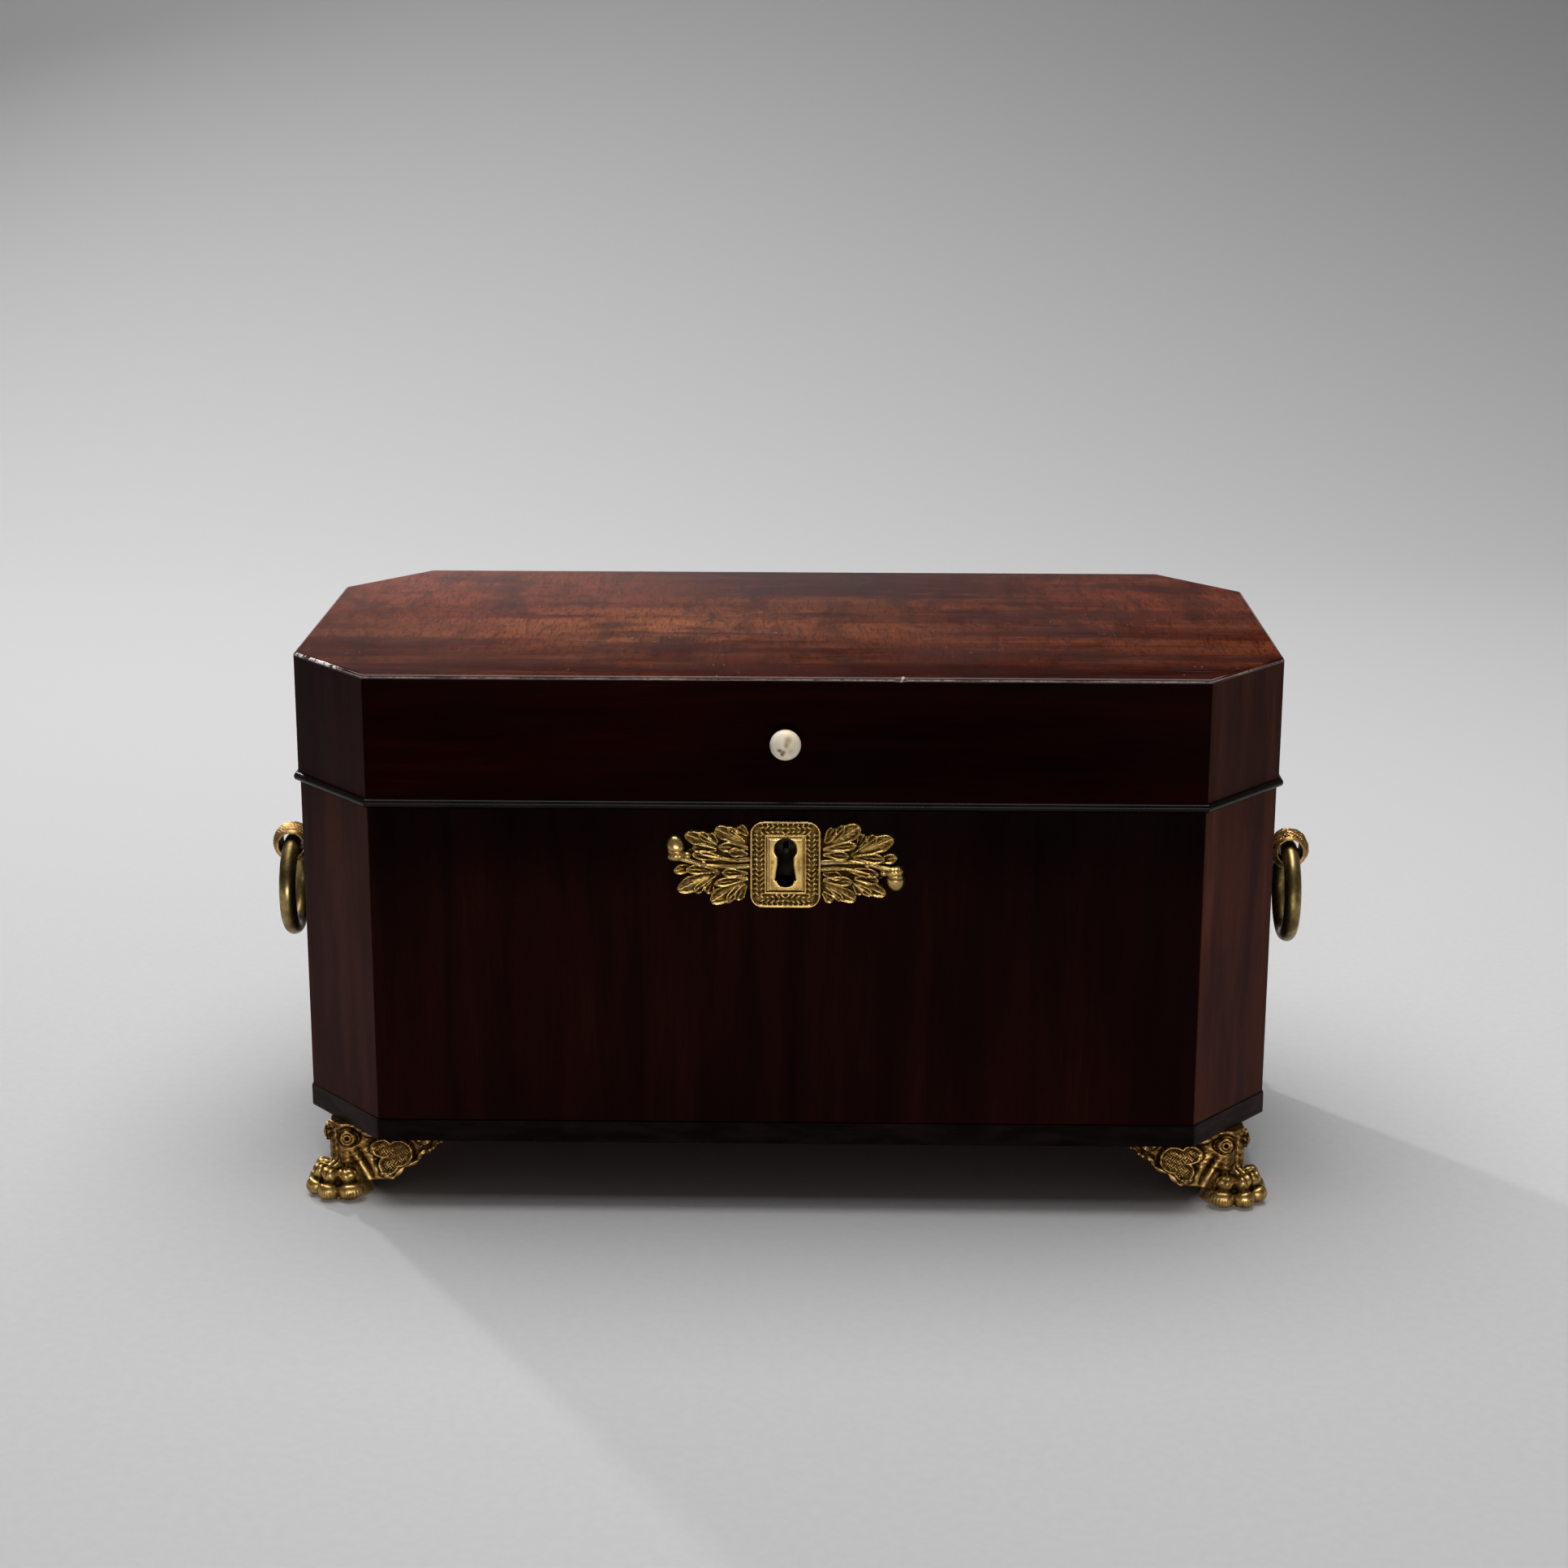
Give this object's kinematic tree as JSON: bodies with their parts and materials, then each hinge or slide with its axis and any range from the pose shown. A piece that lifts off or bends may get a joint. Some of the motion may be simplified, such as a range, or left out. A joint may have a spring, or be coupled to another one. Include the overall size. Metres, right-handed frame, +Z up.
{
  "type": "tea caddy",
  "caption": "Canted-corner mahogany tea caddy with hinged lid, ring handles, oak-spray escutcheon, paw feet, lined compartments and a glass mixing bowl.",
  "frame": {"origin": "on the floor, under the middle of the box", "axes": "+X to the right along the front, +Y from front to back, +Z up"},
  "size_m": [0.359, 0.1869, 0.1814],
  "materials": {
    "mahogany": "French-polished, darkened",
    "ebonised_wood": "black stained and polished",
    "gilt_brass": "cast and chased, aged gilding",
    "brass": "toned",
    "steel": "dull",
    "bone": "polished, stained with age",
    "glass": "clear",
    "tea_lead": "dull grey sheet",
    "lining_velvet": "faded pile"
  },
  "bodies": {
    "case": {"base_strips": "ebonised_wood", "body_back": "mahogany", "body_cant_back_left": "mahogany", "body_cant_back_right": "mahogany", "body_cant_front_left": "mahogany", "body_cant_front_right": "mahogany", "body_front": "mahogany", "body_left": "mahogany", "body_right": "mahogany", "bottom_board": "mahogany", "bowl_collar": "mahogany", "case_screws": "steel", "escutcheon": "gilt_brass", "escutcheon_pins": "gilt_brass", "foot_back_left": "gilt_brass", "foot_back_right": "gilt_brass", "foot_front_left": "gilt_brass", "foot_front_right": "gilt_brass", "foot_screws": "steel", "handle_nuts": "steel", "handle_washers": "steel", "hinge_pins": "steel", "keyhole_plate": "gilt_brass", "left_handle_boss": "brass", "left_hinge_body_leaf": "brass", "left_partition": "mahogany", "left_tea_lining": "tea_lead", "lock_cap": "brass", "lock_case": "brass", "lock_spring": "steel", "right_handle_boss": "brass", "right_hinge_body_leaf": "brass", "right_partition": "mahogany", "right_tea_lining": "tea_lead"},
    "lid": {"left_hinge_lid_leaf": "brass", "lid_back": "mahogany", "lid_bead": "ebonised_wood", "lid_board": "mahogany", "lid_cant_back_left": "mahogany", "lid_cant_back_right": "mahogany", "lid_cant_front_left": "mahogany", "lid_cant_front_right": "mahogany", "lid_front": "mahogany", "lid_knob": "bone", "lid_left": "mahogany", "lid_lining": "lining_velvet", "lid_right": "mahogany", "lid_screws": "steel", "lid_top_veneer": "mahogany", "link_plate": "brass", "right_hinge_lid_leaf": "brass"},
    "left_ring": {"left_ring": "brass"},
    "right_ring": {"right_ring": "brass"},
    "lock_bolt": {"lock_bolt": "steel"},
    "left_inner_lid": {"left_inner_lid": "mahogany", "left_inner_knob": "bone"},
    "right_inner_lid": {"right_inner_lid": "mahogany", "right_inner_knob": "bone"},
    "mixing_bowl": {"mixing_bowl": "glass"}
  },
  "joints": [
    {"name": "lid_hinge", "type": "hinge", "parent": "case", "child": "lid", "pos_m": [0, 0.0883, 0.1382], "axis": [-1, 0, 0], "range_deg": [0, 95]},
    {"name": "left_ring_swing", "type": "hinge", "parent": "case", "child": "left_ring", "pos_m": [-0.1726, 0, 0.1018], "axis": [0, 1, 0], "range_deg": [-19, 199]},
    {"name": "right_ring_swing", "type": "hinge", "parent": "case", "child": "right_ring", "pos_m": [0.1726, 0, 0.1018], "axis": [0, -1, 0], "range_deg": [-19, 199]},
    {"name": "lock_bolt_slide", "type": "slide", "parent": "case", "child": "lock_bolt", "axis": [1, 0, 0], "range_m": [0, 0.006]},
    {"name": "left_inner_lid_lift", "type": "slide", "parent": "case", "child": "left_inner_lid", "axis": [0, 0, 1], "range_m": [0, 0.02]},
    {"name": "right_inner_lid_lift", "type": "slide", "parent": "case", "child": "right_inner_lid", "axis": [0, 0, 1], "range_m": [0, 0.02]},
    {"name": "bowl_lift", "type": "slide", "parent": "case", "child": "mixing_bowl", "axis": [0, 0, 1], "range_m": [0, 0.02]}
  ]
}
